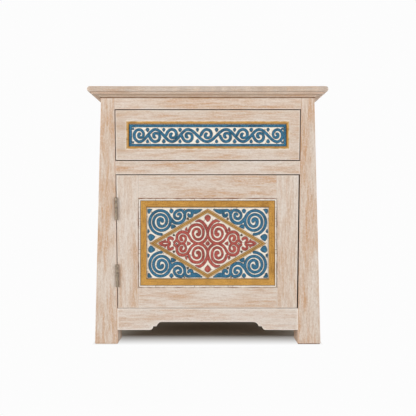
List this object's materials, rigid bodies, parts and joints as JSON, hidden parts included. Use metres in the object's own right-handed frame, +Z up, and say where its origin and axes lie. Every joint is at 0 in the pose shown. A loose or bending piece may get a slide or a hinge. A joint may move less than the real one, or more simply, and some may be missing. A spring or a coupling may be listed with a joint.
{
  "type": "painted nightstand",
  "caption": "Tapered limed-wood nightstand with a carved painted drawer above a hinged door with a carved lozenge panel, moulded top and bracket-cut apron.",
  "frame": {"origin": "on the floor, under the middle of the top board", "axes": "+Z up, +Y from the door to the back, +X to the right as one faces the door"},
  "size_m": [0.558, 0.415, 0.6015],
  "materials": {
    "limed_wood": "limed, matt",
    "bare_wood": "unfinished",
    "plywood": "unfinished",
    "carved_paint": "painted, matt",
    "cream_paint": "painted, matt",
    "gilt_paint": "gilt paint, satin",
    "aged_steel": "aged",
    "latch_plastic": "matt"
  },
  "bodies": {
    "carcass": {"apron": "limed_wood", "back_bottom_rail": "bare_wood", "back_middle_rail": "bare_wood", "back_panel": "plywood", "back_panel_nails": "aged_steel", "back_top_rail": "bare_wood", "cornice_front": "limed_wood", "cornice_left": "limed_wood", "cornice_right": "limed_wood", "door_latch_housing": "latch_plastic", "door_stop": "bare_wood", "drawer_kicker_left": "bare_wood", "drawer_kicker_right": "bare_wood", "drawer_latch_housing": "latch_plastic", "drawer_runner_left": "bare_wood", "drawer_runner_right": "bare_wood", "dust_panel": "plywood", "floor_board": "bare_wood", "front_leg_left": "limed_wood", "front_leg_right": "limed_wood", "hinge_frame_screws": "aged_steel", "hinge_lower_frame_leaf": "aged_steel", "hinge_pins": "aged_steel", "hinge_upper_frame_leaf": "aged_steel", "latch_screws": "aged_steel", "middle_rail": "limed_wood", "rear_leg_left": "limed_wood", "rear_leg_right": "limed_wood", "side_bottom_rail_left": "limed_wood", "side_bottom_rail_right": "limed_wood", "side_panel_left": "limed_wood", "side_panel_right": "limed_wood", "side_top_rail_left": "limed_wood", "side_top_rail_right": "limed_wood", "top_blocks": "bare_wood", "top_board": "limed_wood", "top_rail": "limed_wood", "top_screws": "aged_steel"},
    "drawer": {"drawer_front": "limed_wood", "drawer_side_left": "bare_wood", "drawer_side_right": "bare_wood", "drawer_back": "bare_wood", "drawer_bottom": "plywood", "drawer_carved_panel": "carved_paint", "drawer_gilt_bead": "gilt_paint"},
    "door": {"door_bead": "cream_paint", "door_bottom_rail": "limed_wood", "door_carved_panel": "carved_paint", "door_free_stile": "limed_wood", "door_gilt_border": "gilt_paint", "door_gilt_lozenge": "gilt_paint", "door_hinge_stile": "limed_wood", "door_strike_plate": "aged_steel", "door_top_rail": "limed_wood", "hinge_upper_door_leaf": "aged_steel", "hinge_lower_door_leaf": "aged_steel", "hinge_door_screws": "aged_steel"},
    "drawer_plunger": {"drawer_latch_plunger": "latch_plastic"},
    "door_plunger": {"door_latch_plunger": "latch_plastic"}
  },
  "joints": [
    {"name": "drawer_slide", "type": "slide", "parent": "carcass", "child": "drawer", "axis": [0, -1, 0], "range_m": [0, 0.24]},
    {"name": "door_swing", "type": "hinge", "parent": "carcass", "child": "door", "pos_m": [-0.21409, -0.1843, 0.3175], "axis": [0.0145, 0, -0.9999], "range_deg": [0, 170]},
    {"name": "drawer_latch_push", "type": "slide", "parent": "carcass", "child": "drawer_plunger", "axis": [0, -1, 0], "range_m": [0, 0.01]},
    {"name": "door_latch_push", "type": "slide", "parent": "carcass", "child": "door_plunger", "axis": [0, -1, 0], "range_m": [0, 0.01]}
  ],
  "couplings": [
    {"joint": "drawer_latch_push", "follows": "drawer_slide", "ratio": 0.041625},
    {"joint": "door_latch_push", "follows": "door_swing", "m_per_rad": 0.003367}
  ]
}
